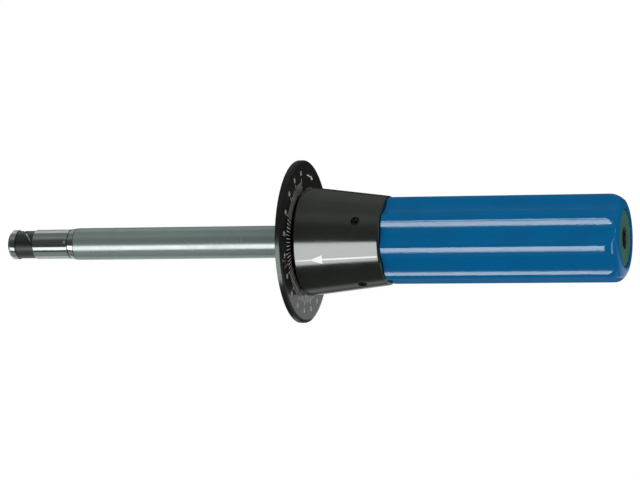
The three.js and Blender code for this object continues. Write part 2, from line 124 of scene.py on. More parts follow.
def rounded(corners, steps=5):
    """Stations from (station, radius, rounding) corners, with a short curve at each rounding."""
    stations = []
    for index, (station, radius, rounding) in enumerate(corners):
        if not rounding:
            stations.append((station, radius))
            continue
        corner = Vector((station, radius))
        before = Vector(corners[index - 1][:2]) - corner
        after = Vector(corners[index + 1][:2]) - corner
        start = corner + before.normalized() * rounding
        end = corner + after.normalized() * rounding
        for step in range(steps + 1):
            share = step / steps
            point = start * (1 - share) ** 2 + corner * 2 * share * (1 - share) + end * share**2
            stations.append((point.x, point.y))
    return stations


# %% [markdown]
# A profile is a list of pairs of a station and a radius. Where its last pair is also its first,
# the piece closes into a ring, as for a tube. Otherwise both ends are filled. Then every face
# is made to point outwards.


# %% Turning helpers
def turned(name, stations, segments=128):
    """A piece turned about the axis, from (station, radius) pairs in millimetres."""
    station, radius = stations[0]
    bpy.ops.object.select_all(action="DESELECT")
    bpy.ops.mesh.primitive_circle_add(
        vertices=segments,
        radius=radius * MM,
        location=(along(station), 0, 0),
        rotation=(0, math.pi / 2, 0),
    )
    bpy.ops.object.transform_apply(location=True, rotation=True, scale=True)
    piece = bpy.context.object
    piece.name = piece.data.name = name
    bpy.ops.object.mode_set(mode="EDIT")
    bpy.ops.mesh.select_mode(type="EDGE")
    bpy.ops.mesh.select_all(action="SELECT")
    for next_station, next_radius in stations[1:]:
        move = (next_station - station) * MM
        bpy.ops.mesh.extrude_edges_move(TRANSFORM_OT_translate={"value": (move, 0, 0)})
        growth = next_radius / radius
        centre = (along(next_station), 0, 0)
        bpy.ops.transform.resize(value=(1, growth, growth), center_override=centre)
        station, radius = next_station, next_radius
    close_and_orient(stations[0] == stations[-1])
    return piece


def close_and_orient(is_ring):
    """Joins the two ends of a ring, or fills both ends of a bar, and points faces outwards."""
    if is_ring:
        bpy.ops.mesh.select_all(action="SELECT")
        bpy.ops.mesh.remove_doubles(threshold=0.002 * MM)
    else:
        bpy.ops.mesh.select_all(action="DESELECT")
        bpy.ops.mesh.select_non_manifold()
        bpy.ops.mesh.edge_face_add()
    face_outwards()


def face_outwards():
    """Points every face of the piece in edit mode outwards and goes back to object mode."""
    bpy.ops.mesh.select_all(action="SELECT")
    bpy.ops.mesh.normals_make_consistent(inside=False)
    bpy.ops.object.mode_set(mode="OBJECT")


# %% [markdown]
# ## Cutting
#
# Sockets and screw holes are cut as in the workshop, with a tool of the hole's own shape and a
# Boolean modifier.


# %% Cutting helpers
def apply_modifier(piece, kind, **settings):
    """Adds one modifier with these settings and applies it."""
    only(piece)
    modifier = piece.modifiers.new(kind.title(), kind)
    for setting, value in settings.items():
        setattr(modifier, setting, value)
    bpy.ops.object.modifier_apply(modifier=modifier.name)


def cut(piece, tool):
    """Cuts the tool's shape out of the piece and throws the tool away."""
    apply_modifier(piece, "BOOLEAN", operation="DIFFERENCE", solver="EXACT", object=tool)
    bpy.data.objects.remove(tool)


def bar(front, rear, radius, sides, rear_radius=None):
    """A plain bar or a taper along the axis, used as a cutting tool. Six sides are a hexagon."""
    bpy.ops.object.select_all(action="DESELECT")
    bpy.ops.mesh.primitive_cone_add(
        vertices=sides,
        radius1=radius * MM,
        radius2=(radius if rear_radius is None else rear_radius) * MM,
        depth=(rear - front) * MM,
        location=(along((front + rear) / 2), 0, 0),
        rotation=(0, math.pi / 2, 0),
    )
    bpy.ops.object.transform_apply(location=True, rotation=True, scale=True)
    return bpy.context.object


def pin(station, degrees, low, high, radius, sides=32):
    """A bar that points away from the axis, at an angle in degrees from +Y towards +Z."""
    bpy.ops.object.select_all(action="DESELECT")
    bpy.ops.mesh.primitive_cylinder_add(
        vertices=sides,
        radius=radius * MM,
        depth=(high - low) * MM,
        location=(0, 0, (low + high) / 2 * MM),
    )
    piece = bpy.context.object
    turn = Matrix.Rotation(math.radians(degrees - 90), 4, "X")
    piece.matrix_world = Matrix.Translation((along(station), 0, 0)) @ turn @ piece.matrix_world
    bpy.ops.object.transform_apply(location=True, rotation=True, scale=True)
    return piece


# %% [markdown]
# ## Finishing
#
# Flat faces and tight roundings share vertices, so a Weighted Normal modifier lets the large
# faces decide the shading. Every finished piece then hides the nodes that it stands for and is
# set on the body that carries it.


# %% Finishing helper
def hand_over(piece, body, slot, *nodes, smooth=35):
    """Shades a piece, hides the nodes that it stands for and sets it on its body. The slot is not
    used.
    """
    only(piece)
    bpy.ops.object.shade_smooth_by_angle(angle=math.radians(smooth))
    apply_modifier(piece, "WEIGHTED_NORMAL", keep_sharp=True)
    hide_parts(*nodes)
    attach(piece, body)
    print(f"{piece.name}: {len(piece.data.polygons)} faces, rides on {body}")


# %% [markdown]
# ## The bit holder
#
# The nose is one turned bar: a ring with a chamfered front, a groove for the retaining clip
# and a polished neck. A hexagonal socket runs up it, and a stop pin crosses the far end of the
# socket. The socket's mouth has a small lead-in so that a bit finds its way in.

# %% Bit holder
UP, DOWN = 90, 270
NOSE, CHAMFER = 5.0, 0.9
GROOVE, GROOVE_FRONT, GROOVE_REAR = 4.05, 2.7, 9.3
NECK_REAR = 21.8
SPIGOT, SPIGOT_REAR = 4.0, 34.1
HEX_CORNER, SOCKET_REAR = 6.45 / math.sqrt(3), 22
BALL_STATION, STOP_STATION = 6.0, 20.9
nose_corners = [
    (0, 3.0, 0),
    (0, NOSE - CHAMFER, 0.12),
    (CHAMFER, NOSE, 0.15),
    (GROOVE_FRONT, NOSE, 0.15),
    (GROOVE_FRONT, GROOVE, 0.12),
    (GROOVE_REAR, GROOVE, 0.12),
    (GROOVE_REAR, NOSE, 0.15),
    (NECK_REAR, NOSE, 0.06),
    (NECK_REAR, SPIGOT, 0),
    (SPIGOT_REAR, SPIGOT, 0),
]
bit_holder = turned("holder_nose", rounded(nose_corners))
# The socket, its lead-in, the stop pin's hole and the ball's hole.
cut(bit_holder, bar(-1, SOCKET_REAR, HEX_CORNER, 6))
cut(bit_holder, bar(-0.4, 0.6, 4.25, 96, rear_radius=3.25))
cut(bit_holder, pin(STOP_STATION, UP, -6, 6, 0.66))
cut(bit_holder, pin(BALL_STATION, DOWN, 1, 6, 0.9))
hand_over(bit_holder, "shaft", "bright_steel", "bit_holder")

# %% [markdown]
# ## The retaining clip
#
# A thin sprung sleeve lies in the groove and presses a ball into the bit. One slit winds back
# along it. The slit comes for free when the sleeve starts as a circle with a small gap in it.

# %% Clip
CLIP_FRONT, CLIP_REAR = 2.85, 9.15
CLIP_MIDDLE, CLIP_WALL = 4.475, 0.45
SLIT_HALF = 0.3
bpy.ops.object.select_all(action="DESELECT")
bpy.ops.mesh.primitive_circle_add(
    vertices=112,
    radius=CLIP_MIDDLE * MM,
    location=(along(CLIP_FRONT), 0, 0),
    rotation=(0, math.pi / 2, 0),
)
clip = bpy.context.object
clip.name = clip.data.name = "retaining_clip"
bpy.ops.object.transform_apply(location=True, rotation=True, scale=True)
bpy.ops.object.mode_set(mode="EDIT")
bpy.ops.mesh.select_mode(type="VERT")
bpy.ops.mesh.select_all(action="DESELECT")
bpy.ops.object.mode_set(mode="OBJECT")
for vertex in clip.data.vertices:
    vertex.select = vertex.co.y > 0 and abs(vertex.co.z) < SLIT_HALF * MM
bpy.ops.object.mode_set(mode="EDIT")
bpy.ops.mesh.delete(type="VERT")
bpy.ops.object.mode_set(mode="OBJECT")
print("open circle:", len(clip.data.edges), "edges")

# %% [markdown]
# The open circle is extruded along the axis in small steps, and each ring of points is then
# turned a little further than the last. Solidify gives the strip its wall and Bevel breaks its
# edges.

# %% Wind the clip
CLIP_STEPS = 28
# The slit's angle in degrees at the two ends of the clip.
SLIT_FRONT, SLIT_REAR = -26, 102
bpy.ops.object.mode_set(mode="EDIT")
bpy.ops.mesh.select_mode(type="EDGE")
bpy.ops.mesh.select_all(action="SELECT")
for step in range(CLIP_STEPS):
    move = (CLIP_REAR - CLIP_FRONT) / CLIP_STEPS * MM
    bpy.ops.mesh.extrude_edges_move(TRANSFORM_OT_translate={"value": (move, 0, 0)})
bpy.ops.object.mode_set(mode="OBJECT")
for vertex in clip.data.vertices:
    share = (vertex.co.x - along(CLIP_FRONT)) / ((CLIP_REAR - CLIP_FRONT) * MM)
    turn = math.radians(SLIT_FRONT + share * (SLIT_REAR - SLIT_FRONT))
    vertex.co = Matrix.Rotation(turn, 3, "X") @ vertex.co
bpy.ops.object.mode_set(mode="EDIT")
face_outwards()
apply_modifier(clip, "SOLIDIFY", thickness=CLIP_WALL * MM, offset=0)
apply_modifier(clip, "BEVEL", width=0.07 * MM, segments=2, angle_limit=math.radians(50))
hand_over(clip, "shaft", "spring_steel", "bit_clip")

# %% [markdown]
# ## The stop pin
#
# A hardened pin goes right through the neck and ends just under its surface. Only its two
# rounded ends show.

# %% Stop pin
PIN_REACH = NOSE - 0.07
stop_pin = pin(STOP_STATION, UP, -PIN_REACH, PIN_REACH, 0.6, sides=48)
stop_pin.name = stop_pin.data.name = "stop_pin"
apply_modifier(stop_pin, "BEVEL", width=0.14 * MM, segments=3, angle_limit=math.radians(60))
hand_over(stop_pin, "shaft", "satin_steel", "bit_stop_pin")

# %% [markdown]
# ## The shank
#
# A ground steel tube carries the torque from the bit holder to the dial. Its front has a
# short polished chamfer that leads from the neck to the full diameter, between two fine
# turned grooves.

# %% Shank
TUBE, TUBE_BORE, TUBE_REAR = 5.4, 4.15, 103.7
SHOULDER_FRONT, SHOULDER_REAR = 22.15, 24.0
LINE_WIDTH, LINE_DEPTH = 0.3, 0.5
tube_corners = [
    (60.0, TUBE_BORE, 0),
    (SHOULDER_FRONT, TUBE_BORE, 0.08),
    (SHOULDER_FRONT, NOSE + 0.02, 0.06),
    (SHOULDER_REAR, TUBE - 0.08, 0.06),
    (SHOULDER_REAR, TUBE - LINE_DEPTH, 0),
    (SHOULDER_REAR + LINE_WIDTH, TUBE - LINE_DEPTH, 0),
    (SHOULDER_REAR + LINE_WIDTH, TUBE, 0.08),
    (TUBE_REAR, TUBE, 0.12),
    (TUBE_REAR, TUBE_BORE, 0.08),
    (60.0, TUBE_BORE, 0),
]
shank = turned("shank_tube", rounded(tube_corners))
hand_over(shank, "shaft", "satin_steel", "shaft_tube")

# %% [markdown]
# ## The dial
#
# The dial is a thin disc. Its rear face carries the scale and has a small bevel at the rim. It
# is wide, so it gets more segments than the slim pieces to keep its outline round.

# %% Dial disc
DIAL, DIAL_BORE = 27.0, 4.15
BEVEL_LENGTH, BEVEL_WIDTH = 0.35, 1.0
disc_corners = [
    (DISC_FRONT + 0.9, DIAL_BORE, 0),
    (DISC_FRONT, DIAL_BORE, 0.1),
    (DISC_FRONT, DIAL, 0.25),
    (DISC_REAR - BEVEL_LENGTH, DIAL, 0.1),
    (DISC_REAR, DIAL - BEVEL_WIDTH, 0.25),
    (DISC_REAR, DIAL_BORE, 0.1),
    (DISC_FRONT + 0.9, DIAL_BORE, 0),
]
dial = turned("dial_disc", rounded(disc_corners), segments=256)
hand_over(dial, "shaft", "black_disc", "scale_disc")

# %% [markdown]
# ## The pointer cone
#
# The cone flares from the grip to a thin open lip that almost touches the dial. It hides the
# hub behind the dial, and four grub screws near its rear hold it to the sleeve inside.

# %% Cone
CONE_WIDE, CONE_NARROW = 18.13, 14.7
# Round the hub the cone is hollow, and behind the step it fits the sleeve.
CONE_HOLLOW, CONE_BORE, CONE_STEP = 15.53, 10.45, 112.6
# The pointer's angle in degrees from +Y towards +Z. A screw stands 45 degrees to each side of it.
INDEX = 119.4
SCREW_STATION = CONE_REAR - 7.9
SCREW_ANGLES = [INDEX + 45, INDEX + 135, INDEX + 225, INDEX + 315]


def cone_radius(station):
    """The outer radius of the cone at a station, in millimetres."""
    share = (station - CONE_FRONT) / (CONE_REAR - CONE_FRONT)
    return CONE_WIDE + share * (CONE_NARROW - CONE_WIDE)


cone_corners = [
    (CONE_FRONT + 3, CONE_HOLLOW, 0),
    (CONE_FRONT, CONE_HOLLOW, 0.25),
    (CONE_FRONT, CONE_WIDE, 0.35),
    (CONE_REAR, CONE_NARROW, 0.7),
    (CONE_REAR, CONE_BORE, 0),
    (CONE_STEP, CONE_BORE, 0),
    (CONE_STEP, CONE_HOLLOW, 0),
    (CONE_FRONT + 3, CONE_HOLLOW, 0),
]
cone = turned("pointer_cone_body", rounded(cone_corners), segments=192)
for degrees in SCREW_ANGLES:
    cut(cone, pin(SCREW_STATION, degrees, 9, 20, 1.52, sides=48))
hand_over(cone, "handle", "black_cone", "pointer_cone")

# %% [markdown]
# ## The grub screws
#
# A grub screw has no head: its end has a small chamfer and a hexagonal recess for the key. The
# first is a short bar set in its hole. Bevel breaks its ends and a six-sided tool cuts the
# recess.

# %% First grub screw
SCREW_FOOT = 10.4
SCREW_TOP = cone_radius(SCREW_STATION) - 0.9
first_angle = SCREW_ANGLES[0]
first_screw = pin(SCREW_STATION, first_angle, SCREW_FOOT, SCREW_TOP, 1.4, sides=40)
first_screw.name = first_screw.data.name = "grub_screw_1"
apply_modifier(first_screw, "BEVEL", width=0.2 * MM, segments=2, angle_limit=math.radians(60))
cut(first_screw, pin(SCREW_STATION, first_angle, SCREW_TOP - 1.2, SCREW_TOP + 1, 0.75, sides=6))
print("grub screw:", len(first_screw.data.polygons), "faces")

# %% [markdown]
# The other three are copies of it, turned round the axis. Each copy gets a mesh of its own, so
# that its place is in its mesh and its object stays at the origin.


# %% Copies of the grub screw
def copied(piece, name, change):
    """A copy of a piece with its own mesh, turned or mirrored by a matrix."""
    copy = piece.copy()
    copy.data = piece.data.copy()
    copy.name = copy.data.name = name
    copy.data.transform(change)
    bpy.context.collection.objects.link(copy)
    return copy


screws = [first_screw]
for number, degrees in enumerate(SCREW_ANGLES[1:], start=2):
    turn = Matrix.Rotation(math.radians(degrees - first_angle), 4, "X")
    screws.append(copied(first_screw, f"grub_screw_{number}", turn))
for number, screw in enumerate(screws, start=1):
    hand_over(screw, "handle", "black_screw", f"cone_screw_{number}")

# %% [markdown]
# ## The grip
#
# The grip is a turned bar with eight long flutes, cut with a large round cutter. Cutting them
# with a Boolean would leave an edge that no bevel follows well where a flute runs out through
# the rounded end. So the bar is turned first, with many narrow segments, and each vertex is
# then drawn in to the cutter's surface. A smooth minimum of the two surfaces rounds the edge
# between them by a constant amount, all the way round the run-out.

# %% Grip
GRIP, GRIP_BORE, PLUG_SEAT = 14.5, 10.6, 9.4
END_ROUNDING = 4.5
FLUTES = 8
PITCH = 360 / FLUTES
FLUTE_RADIUS, FLUTE_DEPTH = 9.0, 1.85
# Degrees from a flute's middle to its edge, and the edge's rounding in millimetres.
FLUTE_EDGE = 17.75
EDGE_ROUNDING = 0.28


def spread(degrees):
    """Moves evenly spaced angles, measured from a flute's middle, closer to the flute's edge."""
    table = [(0.0, 0.0), (0.5, FLUTE_EDGE - 2), (0.86, FLUTE_EDGE + 1.7), (1.0, PITCH / 2)]
    share = abs(degrees) / (PITCH / 2)
    for (start, low), (end, high) in zip(table, table[1:]):
        if share <= end + 1e-9:
            return math.copysign(low + (share - start) / (end - start) * (high - low), degrees)
    return degrees


def flute_surface(degrees):
    """The distance from the axis to the cutter's surface, at an angle from a flute's middle."""
    cutter_distance = GRIP - FLUTE_DEPTH + FLUTE_RADIUS
    angle = math.radians(degrees)
    reach = FLUTE_RADIUS**2 - (cutter_distance * math.sin(angle)) ** 2
    return cutter_distance * math.cos(angle) - math.sqrt(max(reach, 0))


def smooth_minimum(first, second, rounding):
    """The smaller of two distances, rounded where one takes over from the other."""
    overlap = max(rounding - abs(first - second), 0) / rounding
    return min(first, second) - overlap * overlap * rounding / 4


# %% [markdown]
# The outline of the bar is a chamfer at the front, a long straight side and a quarter circle
# at the rear, with many stations along the curve so that the flutes run out cleanly.

# %% Turn the bar and draw in the flutes
BORE_START = GRIP_FRONT + 30
SEAT_FLOOR = GRIP_REAR - 4.3
ARC_STEPS = 30
grip_stations = [(BORE_START, GRIP_BORE), (GRIP_FRONT, GRIP_BORE)]
front_edge = [(GRIP_FRONT, GRIP_BORE, 0), (GRIP_FRONT, GRIP, 0.55), (160, GRIP, 0)]
grip_stations += rounded(front_edge)[1:]
for station in (170, 185, 200):
    grip_stations.append((station, GRIP))
for step in range(ARC_STEPS + 1):
    turn = step / ARC_STEPS * math.pi / 2
    inset = END_ROUNDING * (1 - math.cos(turn))
    grip_stations.append((GRIP_REAR - END_ROUNDING * (1 - math.sin(turn)), GRIP - inset))
mouth = [
    (GRIP_REAR, GRIP - END_ROUNDING, 0),
    (GRIP_REAR, PLUG_SEAT, 0.2),
    (SEAT_FLOOR, PLUG_SEAT, 0),
    (SEAT_FLOOR, GRIP_BORE, 0),
    (BORE_START, GRIP_BORE, 0),
]
grip_stations += rounded(mouth)[1:]
grip = turned("fluted_grip", grip_stations, segments=FLUTES * 64)
for vertex in grip.data.vertices:
    radius = math.hypot(vertex.co.y, vertex.co.z) / MM
    degrees = math.degrees(math.atan2(vertex.co.z, vertex.co.y))
    middle = round(degrees / PITCH) * PITCH
    offset = spread(degrees - middle)
    if radius > GRIP_BORE + 0.1:
        radius = smooth_minimum(radius, flute_surface(offset), EDGE_ROUNDING)
    angle = math.radians(middle + offset)
    vertex.co.y, vertex.co.z = radius * math.cos(angle) * MM, radius * math.sin(angle) * MM
hand_over(grip, "handle", "blue_grip", "handle_grip", smooth=60)

# %% [markdown]
# ## The rear plug
#
# A green plug closes the end of the grip. It anchors the spring, and turning it with a key in
# its hexagonal socket sets the pointer to zero. Its nose carries a rubber ring.

# %% Rear plug
PLUG_FRONT, PLUG_FACE = 189.6, station_of("rear_plug", 1)
PLUG_STEM, PLUG_COLLAR, PLUG_NOSE = 8.6, 10.3, 9.1
COLLAR_FRONT, COLLAR_REAR = 206.6, 209.2
SEAL = (station_of("plug_seal", 0) + station_of("plug_seal", 1)) / 2
SEAL_FLOOR, SEAL_HALF = 8.15, 0.65
SOCKET_CORNER = 6.2 / math.sqrt(3)
plug_corners = [
    (PLUG_FRONT, 5.2, 0),
    (PLUG_FRONT, PLUG_STEM, 0),
    (COLLAR_FRONT, PLUG_STEM, 0),
    (COLLAR_FRONT, PLUG_COLLAR, 0),
    (COLLAR_REAR, PLUG_COLLAR, 0),
    (COLLAR_REAR, PLUG_NOSE, 0),
    (SEAL - SEAL_HALF, PLUG_NOSE, 0),
    (SEAL - SEAL_HALF, SEAL_FLOOR, 0),
    (SEAL + SEAL_HALF, SEAL_FLOOR, 0),
    (SEAL + SEAL_HALF, PLUG_NOSE, 0),
    (PLUG_FACE, PLUG_NOSE, 0.15),
    (PLUG_FACE, 4.5, 0),
]
plug = turned("zero_plug_body", rounded(plug_corners))
print(f"plug {PLUG_FRONT:.1f} to {PLUG_FACE:.1f} mm, seal at {SEAL:.1f} mm")
# The hexagonal socket and its lead-in.
cut(plug, bar(PLUG_FACE - 7, PLUG_FACE + 1, SOCKET_CORNER, 6))
cut(plug, bar(PLUG_FACE - 0.5, PLUG_FACE + 0.4, 3.05, 96, rear_radius=4.05))
hand_over(plug, "zero_plug", "green_plug", "rear_plug")

# %% [markdown]
# ## The printed scale
#
# The scale runs the same way to both sides of a red zero line, because the tool tightens and
# loosens. One tick is a thin raised bar, and Spin repeats it round the dial.


# %% Tick helper
INK = 0.02
INK_WALL = INK * 0.75
SCALE_SWEEP = 99


def tick_row(name, inner, outer, width, step):
    """Radial bars every so many degrees, over the whole sweep to both sides of the zero line."""
    bpy.ops.object.select_all(action="DESELECT")
    bpy.ops.mesh.primitive_plane_add(size=1, rotation=(0, math.pi / 2, 0))
    piece = bpy.context.object
    piece.name = piece.data.name = name
    length = (outer - inner) * MM
    piece.scale = (width * MM, length, 1)
    piece.rotation_euler = (math.pi / 2, 0, math.pi / 2)
    piece.location = (along(DISC_REAR + INK), 0, (inner + outer) / 2 * MM)
    bpy.ops.object.transform_apply(location=True, rotation=True, scale=True)
    turn = Matrix.Rotation(math.radians(INDEX - SCALE_SWEEP - 90), 4, "X")
    piece.data.transform(turn)
    bpy.ops.object.mode_set(mode="EDIT")
    bpy.ops.mesh.select_all(action="SELECT")
    bpy.ops.mesh.extrude_region_move(TRANSFORM_OT_translate={"value": (-INK_WALL * MM, 0, 0)})
    bpy.ops.mesh.select_all(action="SELECT")
    bpy.ops.mesh.normals_make_consistent(inside=False)
    bpy.ops.mesh.spin(
        steps=round(2 * SCALE_SWEEP / step),
        dupli=True,
        angle=math.radians(-2 * SCALE_SWEEP),
        center=(0, 0, 0),
        axis=(1, 0, 0),
    )
    bpy.ops.object.mode_set(mode="OBJECT")
    return piece


# %% [markdown]
# There is a tick every 3.6 degrees and a longer one every 18. The two rows are joined into one
# piece.

# %% Ticks
TICK_STEP, LONG_STEP = 3.6, 18
TICK_FOOT = 16.5
minor = tick_row("minor_ticks", TICK_FOOT, 20.3, 0.19, TICK_STEP)
major = tick_row("dial_ticks", TICK_FOOT, 21.2, 0.22, LONG_STEP)
only(major, minor)
bpy.ops.object.join()
ticks = bpy.context.object
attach(ticks, "shaft")
print("tick bars:", len(ticks.data.polygons) // 6)

# %% [markdown]
# ## The numbers
#
# A number stands at each long tick. A text object gives its shape. It is given a little
# thickness, made a mesh, narrowed and laid on the dial with its top towards the rim. At the
# end all of them are joined into one piece.


# %% Numbers
def on_dial(degrees, radius, lift=INK):
    """The place on the dial's rear face at an angle and radius, with up pointing outwards."""
    angle = math.radians(degrees)
    outward = Vector((0, math.cos(angle), math.sin(angle)))
    normal = Vector((1, 0, 0))
    right = outward.cross(normal)
    place = Matrix((right, outward, normal)).transposed().to_4x4()
    place.translation = Vector((along(DISC_REAR + lift), 0, 0)) + outward * radius * MM
    return place


LABEL_HEIGHT, LABEL_NARROWING, LABEL_RADIUS = 2.2, 0.7, 22.9
labels = []
for number in range(1, 7):
    for side in (-1, 1):
        bpy.ops.object.select_all(action="DESELECT")
        bpy.ops.object.text_add()
        label = bpy.context.object
        label.data.body = str(number * 10)
        label.data.size = LABEL_HEIGHT * MM
        label.data.align_x = "CENTER"
        label.data.align_y = "CENTER"
        label.data.extrude = 0.007 * MM
        bpy.ops.object.convert(target="MESH")
        label = bpy.context.object
        label.data.transform(Matrix.Scale(LABEL_NARROWING, 4, (1, 0, 0)))
        degrees = side * (number - 0.5) * LONG_STEP
        label.data.transform(on_dial(INDEX + degrees, LABEL_RADIUS))
        labels.append(label)
only(*labels)
bpy.ops.object.join()
numbers = bpy.context.object
numbers.name = numbers.data.name = "dial_numbers"
numbers.matrix_world = Matrix.Identity(4)
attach(numbers, "shaft")
print("numbers:", len(labels))

# %% [markdown]
# ## Strips of ink
#
# The pointer, the zero line and the two arrows that show the direction of load are flat strips
# whose width may change along their length. A strip starts as one short row of faces, and its
# end edge is extruded and scaled again and again.


# %% Strip helper
def strip(name, widths, across=6):
    """A flat strip along X from (distance, width) pairs in millimetres, centred on Y = 0."""
    start, width = widths[0]
    bpy.ops.object.select_all(action="DESELECT")
    bpy.ops.mesh.primitive_grid_add(x_subdivisions=1, y_subdivisions=across, size=1)
    piece = bpy.context.object
    piece.name = piece.data.name = name
    length = (widths[1][0] - start) * MM
    middle = start * MM + length / 2
    piece.scale = (length, width * MM, 1)
    piece.location = (middle, 0, 0)
    bpy.ops.object.transform_apply(location=True, rotation=True, scale=True)
    points = piece.data.vertices
    for vertex in points:
        vertex.select = vertex.co.x > middle
        if vertex.select:
            vertex.co.y *= widths[1][1] / width
    bpy.ops.object.mode_set(mode="EDIT")
    bpy.ops.mesh.select_mode(type="EDGE")
    bpy.ops.object.mode_set(mode="OBJECT")
    for edge in piece.data.edges:
        edge.select = all(points[end].co.x > middle for end in edge.vertices)
    for face in piece.data.polygons:
        face.select = False
    bpy.ops.object.mode_set(mode="EDIT")
    for (here, size), (there, next_size) in zip(widths[1:], widths[2:]):
        move = ((there - here) * MM, 0, 0)
        bpy.ops.mesh.extrude_edges_move(TRANSFORM_OT_translate={"value": move})
        growth = next_size / size
        bpy.ops.transform.resize(value=(1, growth, 1), center_override=(there * MM, 0, 0))
    bpy.ops.object.mode_set(mode="OBJECT")
    return piece


# %% [markdown]
# A strip is laid on its surface by moving each of its points there. Solidify then gives it the
# thickness of ink.


# %% Wrap helper
def wrap(piece, surface, body):
    """Lays a flat strip on a surface, gives it a thin wall and sets it on its body."""
    for vertex in piece.data.vertices:
        vertex.co = surface(vertex.co.x / MM, vertex.co.y / MM)
    apply_modifier(piece, "SOLIDIFY", thickness=INK_WALL * MM, offset=0)
    only(piece)
    bpy.ops.object.mode_set(mode="EDIT")
    face_outwards()
    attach(piece, body)
    print(f"{piece.name}: {len(piece.data.polygons)} faces")


# %% [markdown]
# ## The pointer line
#
# A white line runs down the whole cone, with a solid triangle that points at the dial.

# %% Pointer
LINE = 0.5
HEAD_STEPS, TAIL_STEPS = 8, 12
HEAD_FRONT, HEAD_LENGTH, HEAD_WIDTH = CONE_FRONT + 5.7, 3.5, 2.9
TAIL_FRONT, TAIL_REAR = HEAD_FRONT + HEAD_LENGTH + 0.01, CONE_REAR - 0.85
pointer_widths = [(CONE_FRONT + 0.45, LINE), (CONE_FRONT + 2.5, LINE), (HEAD_FRONT, LINE)]
for step in range(1, HEAD_STEPS + 1):
    share = step / HEAD_STEPS
    width = LINE + share * (HEAD_WIDTH - LINE)
    pointer_widths.append((HEAD_FRONT + share * HEAD_LENGTH, width))
for step in range(TAIL_STEPS + 1):
    share = step / TAIL_STEPS
    pointer_widths.append((TAIL_FRONT + share * (TAIL_REAR - TAIL_FRONT), LINE))


def on_cone(station, arc):
    """A surface for the pointer: a station along the cone and a distance round it."""
    radius = cone_radius(station) + INK
    angle = math.radians(INDEX) + arc / radius
    return Vector((along(station), radius * math.cos(angle) * MM, radius * math.sin(angle) * MM))


pointer = strip("pointer_line", pointer_widths)
wrap(pointer, on_cone, "handle")

# %% [markdown]
# ## The zero line and the arrows
#
# The zero line on the dial is red. Two curved arrows outside the scale show which way the load
# reads, in place of words. The second arrow is a mirrored copy of the first.


# %% Zero line and arrows
def on_face(middle, radius):
    """A surface for strips that follow the dial: along the circle, and across it outwards."""

    def place(distance, offset):
        return on_dial(middle + math.degrees(distance / radius), radius + offset).translation

    return place


MARK_RADIUS = 22.2
ARROW_DEGREES = 124
zero_line = strip("zero_line", [(-0.22, 3.9), (0.0, 3.9), (0.22, 3.9)])
wrap(zero_line, on_face(INDEX, MARK_RADIUS), "shaft")

arrow_widths = [(-3.4 + step * 0.45, 0.42) for step in range(11)]
arrow_widths += [(1.11 + step * 0.32, 1.5 - step * 0.235) for step in range(7)]
first_arrow = strip("load_arrow_1", arrow_widths)
arrows = [first_arrow, copied(first_arrow, "load_arrow_2", Matrix.Scale(-1, 4, (1, 0, 0)))]
for arrow, side in zip(arrows, (1, -1)):
    surface = on_face(INDEX + side * ARROW_DEGREES, MARK_RADIUS)
    wrap(arrow, surface, "shaft")

# %% [markdown]
# ## Node groups
#
# Four effects are shared by the finishes, so each is a node group with its own inputs: fine
# grain, turning marks, the patches left by hands, and a light line along edges, which is rubbed
# wear on most finishes and a painted highlight on the grip. All of them read Object
# coordinates, which stay with the piece when it turns.


# %% Node helpers
def add_node(tree, kind, inputs, **settings):
    """Adds a shader node, sets its properties, and sets or links each of its inputs."""
    node = tree.nodes.new("ShaderNode" + kind)
    for setting, value in settings.items():
        setattr(node, setting, value)
    for socket, value in inputs.items():
        if isinstance(value, bpy.types.NodeSocket):
            tree.links.new(value, node.inputs[socket])
        else:
            node.inputs[socket].default_value = value
    return node


def maths(tree, operation, *values):
    """A Math node with these values or links as its inputs."""
    return add_node(tree, "Math", dict(enumerate(values)), operation=operation).outputs[0]


def mix_colours(tree, share, first, second):
    """The first colour where the share is 0, and the second where it is 1."""
    inputs = {0: share, 6: first, 7: second}
    return add_node(tree, "Mix", inputs, data_type="RGBA").outputs[2]


def new_group(name, inputs, outputs):
    """An empty shader node group with these named inputs and outputs."""
    tree = bpy.data.node_groups.new(name, "ShaderNodeTree")
    for label, kind, value in inputs:
        socket = tree.interface.new_socket(name=label, in_out="INPUT", socket_type=kind)
        socket.default_value = value
    for label in outputs:
        tree.interface.new_socket(name=label, in_out="OUTPUT", socket_type="NodeSocketFloat")
    return tree, tree.nodes.new("NodeGroupInput"), tree.nodes.new("NodeGroupOutput")


VECTOR = ("Vector", "NodeSocketVector", (0, 0, 0))
# How many patches, grains or rings each effect draws in a metre.
PATCHES, GRAINS, RINGS = 90.0, 5000.0, 5000.0

# %% [markdown]
# Grain is a small noise, as on anodised or blackened metal. Turning marks are a noise along
# the axis only, so that it draws rings round the piece.

# %% Grain and turning marks
grain_group, into, out = new_group(
    "surface_grain", [VECTOR, ("Per metre", "NodeSocketFloat", GRAINS)], ["Height"]
)
noise = add_node(
    grain_group,
    "TexNoise",
    {"Vector": into.outputs[0], "Scale": into.outputs[1], "Detail": 3.0, "Roughness": 0.6},
)
grain_group.links.new(noise.outputs["Fac"], out.inputs[0])

marks_group, into, out = new_group(
    "turning_marks", [VECTOR, ("Per metre", "NodeSocketFloat", RINGS)], ["Height"]
)
parts = add_node(marks_group, "SeparateXYZ", {0: into.outputs[0]})
noise = add_node(
    marks_group,
    "TexNoise",
    {"W": parts.outputs["X"], "Scale": into.outputs[1], "Detail": 4.0, "Roughness": 0.7},
    noise_dimensions="1D",
)
marks_group.links.new(noise.outputs["Fac"], out.inputs[0])
